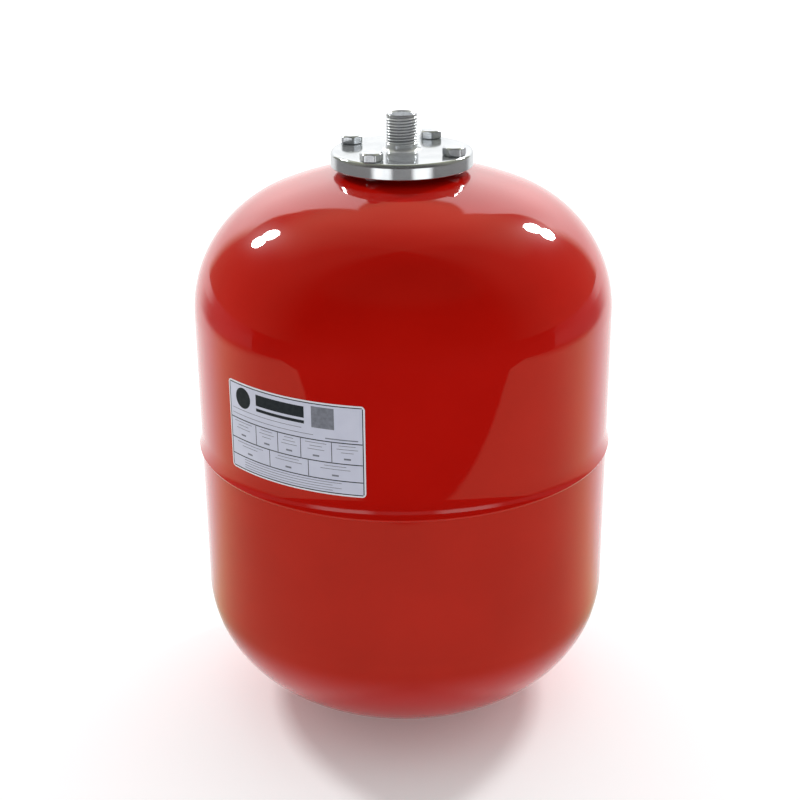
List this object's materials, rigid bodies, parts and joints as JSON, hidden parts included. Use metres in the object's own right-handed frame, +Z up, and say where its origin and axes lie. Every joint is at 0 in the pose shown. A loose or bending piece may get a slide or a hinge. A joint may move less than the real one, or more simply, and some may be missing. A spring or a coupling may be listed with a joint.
{
  "type": "expansion vessel",
  "caption": "Upright heating expansion vessel: two domed steel shells joined at a lipped seam, bolted top flange with threaded nipple, rubber membrane and sprung air valve below.",
  "frame": {"origin": "on the vessel's axis, at the floor that the standing ring rests on", "axes": "+Z up along the vessel's axis towards the water connection, -Y to the front, the label is left of the front"},
  "size_m": [0.2736, 0.2736, 0.3971],
  "materials": {
    "red_paint": "glossy red epoxy paint over pressed steel",
    "zinc_plate": "bright galvanised pressed steel",
    "zinc_nipple": "zinc-plated turned steel",
    "zinc_bolts": "zinc-plated bolts",
    "membrane_rubber": "moulded synthetic rubber",
    "seal_rubber": "moulded seal rubber",
    "core_plastic": "low-friction sealing plastic",
    "valve_brass": "turned brass",
    "pin_steel": "drawn steel",
    "cap_plastic": "moulded black plastic",
    "label_film": "printed self-adhesive film"
  },
  "bodies": {
    "vessel": {"upper_shell": "red_paint", "lower_shell": "red_paint", "seam_weld": "red_paint", "neck_ring": "red_paint", "neck_weld": "red_paint", "flange_plate": "zinc_plate", "water_nipple": "zinc_nipple", "nipple_weld": "zinc_nipple", "flange_bolts": "zinc_bolts", "rating_label": "label_film", "valve_body": "valve_brass", "valve_gasket": "seal_rubber", "valve_nut": "valve_brass", "valve_core": "valve_brass", "core_seal": "core_plastic", "valve_spring": "pin_steel"},
    "membrane": {"bladder": "membrane_rubber"},
    "pin": {"valve_pin": "pin_steel", "pin_seal": "seal_rubber"},
    "seal": {"cap_seal": "seal_rubber"},
    "cap": {"valve_cap": "cap_plastic"},
    "cover": {"valve_cover": "cap_plastic"}
  },
  "joints": [
    {"name": "bladder_squeeze", "type": "slide", "parent": "vessel", "child": "membrane", "axis": [0, 0, 1], "range_m": [0, 0.12], "deforming": ["bladder"]},
    {"name": "valve_press", "type": "slide", "parent": "vessel", "child": "pin", "axis": [0, 0, 1], "range_m": [0, 0.0015], "stiffness_N_per_m": 600, "springref_m": -0.003, "deforming": ["valve_spring"]},
    {"name": "cap_travel", "type": "slide", "parent": "vessel", "child": "seal", "axis": [0, 0, -1], "range_m": [0, 0.00476]},
    {"name": "cap_unscrew", "type": "hinge", "parent": "seal", "child": "cap", "pos_m": [0, 0, 0.016], "axis": [0, 0, -1], "range_deg": [0, 2160]},
    {"name": "cover_pull", "type": "slide", "parent": "vessel", "child": "cover", "axis": [0, 0, -1], "range_m": [0, 0.03]}
  ],
  "couplings": [
    {"joint": "cap_unscrew", "follows": "cap_travel", "rad_per_m": 7913.3}
  ]
}
